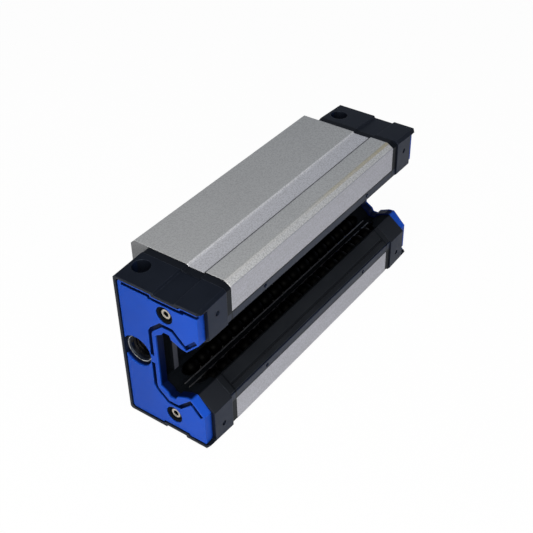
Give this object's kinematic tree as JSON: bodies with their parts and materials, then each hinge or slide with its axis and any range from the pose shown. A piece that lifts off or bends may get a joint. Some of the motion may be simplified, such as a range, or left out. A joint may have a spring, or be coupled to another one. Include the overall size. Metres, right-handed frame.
{
  "type": "linear guide block",
  "caption": "Steel guide block with a rail channel, recirculating balls, black end caps and blue end seals; it bolts under a machine table and runs along a profile rail",
  "frame": {"origin": "centre of the mounting face", "axes": "X along the rail, with the end that the picture shows at -X; +Y out of the mounting face, away from the rail; +Z across the block, up as it lies on its side in the picture"},
  "size_m": [0.1046, 0.033, 0.048],
  "materials": {
    "ground_steel": "matte ground steel, slightly cool grey",
    "black_cap": "black moulded plastic with a fine satin grain",
    "black_plate": "black moulded plastic",
    "black_strip": "black strip, matte",
    "black_retainer": "black moulded plastic, slightly shiny from oil",
    "blue_seal": "blue satin seal with a fine moulded grain",
    "screw_steel": "plain steel, warm grey, slightly worn",
    "wire_steel": "drawn bright steel wire",
    "ball_steel": "polished bearing steel under a dark film of oil"
  },
  "bodies": {
    "block": {"steel_body": "ground_steel", "top_retainer": "black_retainer", "front_return_plate": "black_plate", "front_end_cap": "black_cap", "front_end_seal": "blue_seal", "front_seal_screws": "screw_steel", "rear_return_plate": "black_plate", "rear_end_cap": "black_cap", "rear_end_seal": "blue_seal", "rear_seal_screws": "screw_steel", "left_bottom_seal": "black_strip", "left_lower_retainer": "black_retainer", "left_middle_retainer": "black_retainer", "upper_left_wire": "wire_steel", "lower_left_wire": "wire_steel", "right_bottom_seal": "black_strip", "right_lower_retainer": "black_retainer", "right_middle_retainer": "black_retainer", "upper_right_wire": "wire_steel", "lower_right_wire": "wire_steel"},
    "upper_left_loaded_balls": {"upper_left_loaded_balls": "ball_steel"},
    "upper_left_return_balls": {"upper_left_return_balls": "ball_steel"},
    "upper_left_front_turn_balls": {"upper_left_front_turn_balls": "ball_steel"},
    "upper_left_rear_turn_balls": {"upper_left_rear_turn_balls": "ball_steel"},
    "lower_left_loaded_balls": {"lower_left_loaded_balls": "ball_steel"},
    "lower_left_return_balls": {"lower_left_return_balls": "ball_steel"},
    "lower_left_front_turn_balls": {"lower_left_front_turn_balls": "ball_steel"},
    "lower_left_rear_turn_balls": {"lower_left_rear_turn_balls": "ball_steel"},
    "upper_right_loaded_balls": {"upper_right_loaded_balls": "ball_steel"},
    "upper_right_return_balls": {"upper_right_return_balls": "ball_steel"},
    "upper_right_front_turn_balls": {"upper_right_front_turn_balls": "ball_steel"},
    "upper_right_rear_turn_balls": {"upper_right_rear_turn_balls": "ball_steel"},
    "lower_right_loaded_balls": {"lower_right_loaded_balls": "ball_steel"},
    "lower_right_return_balls": {"lower_right_return_balls": "ball_steel"},
    "lower_right_front_turn_balls": {"lower_right_front_turn_balls": "ball_steel"},
    "lower_right_rear_turn_balls": {"lower_right_rear_turn_balls": "ball_steel"}
  },
  "joints": [
    {"name": "upper_left_loaded_run", "type": "slide", "parent": "block", "child": "upper_left_loaded_balls", "axis": [1, 0, 0], "range_m": [-0.00245, 0.00245]},
    {"name": "upper_left_return_run", "type": "slide", "parent": "block", "child": "upper_left_return_balls", "axis": [1, 0, 0], "range_m": [-0.00245, 0.00245]},
    {"name": "upper_left_front_turn", "type": "hinge", "parent": "block", "child": "upper_left_front_turn_balls", "pos_m": [-0.04165, -0.016, 0.01499], "axis": [0, -0.9395, 0.3427], "range_deg": [-45.05, 45.05]},
    {"name": "upper_left_rear_turn", "type": "hinge", "parent": "block", "child": "upper_left_rear_turn_balls", "pos_m": [0.04165, -0.016, 0.01499], "axis": [0, -0.9395, 0.3427], "range_deg": [-45.05, 45.05]},
    {"name": "lower_left_loaded_run", "type": "slide", "parent": "block", "child": "lower_left_loaded_balls", "axis": [1, 0, 0], "range_m": [-0.00245, 0.00245]},
    {"name": "lower_left_return_run", "type": "slide", "parent": "block", "child": "lower_left_return_balls", "axis": [1, 0, 0], "range_m": [-0.00245, 0.00245]},
    {"name": "lower_left_front_turn", "type": "hinge", "parent": "block", "child": "lower_left_front_turn_balls", "pos_m": [-0.04165, -0.026, 0.01499], "axis": [0, -0.9395, -0.3427], "range_deg": [-45.05, 45.05]},
    {"name": "lower_left_rear_turn", "type": "hinge", "parent": "block", "child": "lower_left_rear_turn_balls", "pos_m": [0.04165, -0.026, 0.01499], "axis": [0, -0.9395, -0.3427], "range_deg": [-45.05, 45.05]},
    {"name": "upper_right_loaded_run", "type": "slide", "parent": "block", "child": "upper_right_loaded_balls", "axis": [1, 0, 0], "range_m": [-0.00245, 0.00245]},
    {"name": "upper_right_return_run", "type": "slide", "parent": "block", "child": "upper_right_return_balls", "axis": [1, 0, 0], "range_m": [-0.00245, 0.00245]},
    {"name": "upper_right_front_turn", "type": "hinge", "parent": "block", "child": "upper_right_front_turn_balls", "pos_m": [-0.04165, -0.016, -0.01499], "axis": [0, 0.9395, 0.3427], "range_deg": [-45.05, 45.05]},
    {"name": "upper_right_rear_turn", "type": "hinge", "parent": "block", "child": "upper_right_rear_turn_balls", "pos_m": [0.04165, -0.016, -0.01499], "axis": [0, 0.9395, 0.3427], "range_deg": [-45.05, 45.05]},
    {"name": "lower_right_loaded_run", "type": "slide", "parent": "block", "child": "lower_right_loaded_balls", "axis": [1, 0, 0], "range_m": [-0.00245, 0.00245]},
    {"name": "lower_right_return_run", "type": "slide", "parent": "block", "child": "lower_right_return_balls", "axis": [1, 0, 0], "range_m": [-0.00245, 0.00245]},
    {"name": "lower_right_front_turn", "type": "hinge", "parent": "block", "child": "lower_right_front_turn_balls", "pos_m": [-0.04165, -0.026, -0.01499], "axis": [0, 0.9395, -0.3427], "range_deg": [-45.05, 45.05]},
    {"name": "lower_right_rear_turn", "type": "hinge", "parent": "block", "child": "lower_right_rear_turn_balls", "pos_m": [0.04165, -0.026, -0.01499], "axis": [0, 0.9395, -0.3427], "range_deg": [-45.05, 45.05]}
  ],
  "couplings": [
    {"joint": "upper_left_return_run", "follows": "upper_left_loaded_run", "ratio": -1},
    {"joint": "upper_left_front_turn", "follows": "upper_left_loaded_run", "rad_per_m": 320.57},
    {"joint": "upper_left_rear_turn", "follows": "upper_left_loaded_run", "rad_per_m": 320.57},
    {"joint": "lower_left_return_run", "follows": "lower_left_loaded_run", "ratio": -1},
    {"joint": "lower_left_front_turn", "follows": "lower_left_loaded_run", "rad_per_m": 320.57},
    {"joint": "lower_left_rear_turn", "follows": "lower_left_loaded_run", "rad_per_m": 320.57},
    {"joint": "upper_right_return_run", "follows": "upper_right_loaded_run", "ratio": -1},
    {"joint": "upper_right_front_turn", "follows": "upper_right_loaded_run", "rad_per_m": 320.57},
    {"joint": "upper_right_rear_turn", "follows": "upper_right_loaded_run", "rad_per_m": 320.57},
    {"joint": "lower_right_return_run", "follows": "lower_right_loaded_run", "ratio": -1},
    {"joint": "lower_right_front_turn", "follows": "lower_right_loaded_run", "rad_per_m": 320.57},
    {"joint": "lower_right_rear_turn", "follows": "lower_right_loaded_run", "rad_per_m": 320.57}
  ]
}
